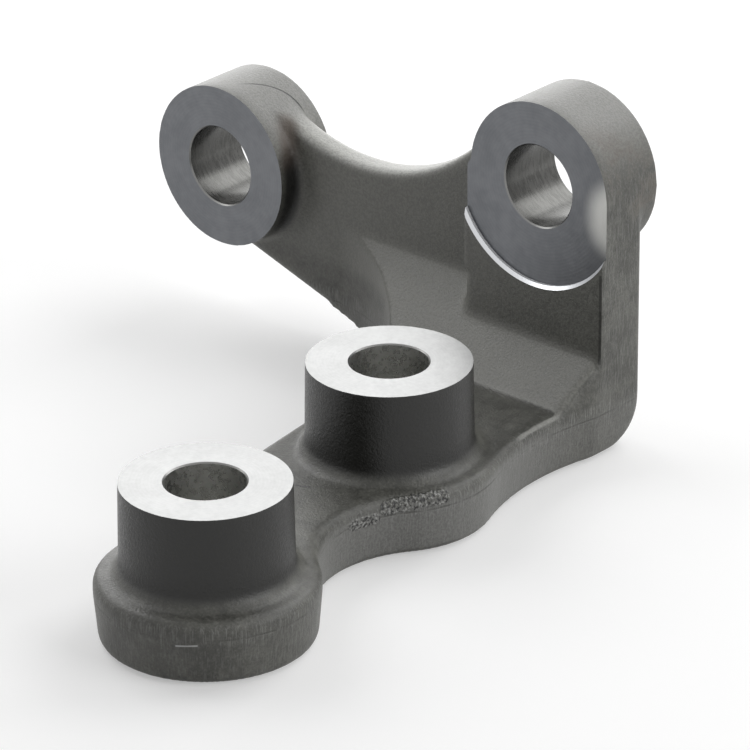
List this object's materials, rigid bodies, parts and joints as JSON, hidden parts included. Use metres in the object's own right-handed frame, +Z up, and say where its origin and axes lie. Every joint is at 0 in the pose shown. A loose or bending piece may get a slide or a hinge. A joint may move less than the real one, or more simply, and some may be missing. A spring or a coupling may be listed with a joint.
{
  "type": "axle support bracket",
  "caption": "Forged steel bracket with a flat base, upright bored bosses and a wall that carries two cross-bored axle lugs at different heights.",
  "frame": {"origin": "on the rear boss bore's axis, in the plane of the flat underside", "axes": "+Z up, out of the boss bores; +Y along the lug bores, from the front boss towards the wall; +X from the low lug towards the high lug"},
  "size_m": [0.1723, 0.1836, 0.0918],
  "materials": {
    "forged_steel": "dark shot-blasted forging skin, with bright machined boss tops and bores and satin machined lug faces"
  },
  "bodies": {
    "root": {"axle_support_bracket": "forged_steel"}
  },
  "joints": []
}
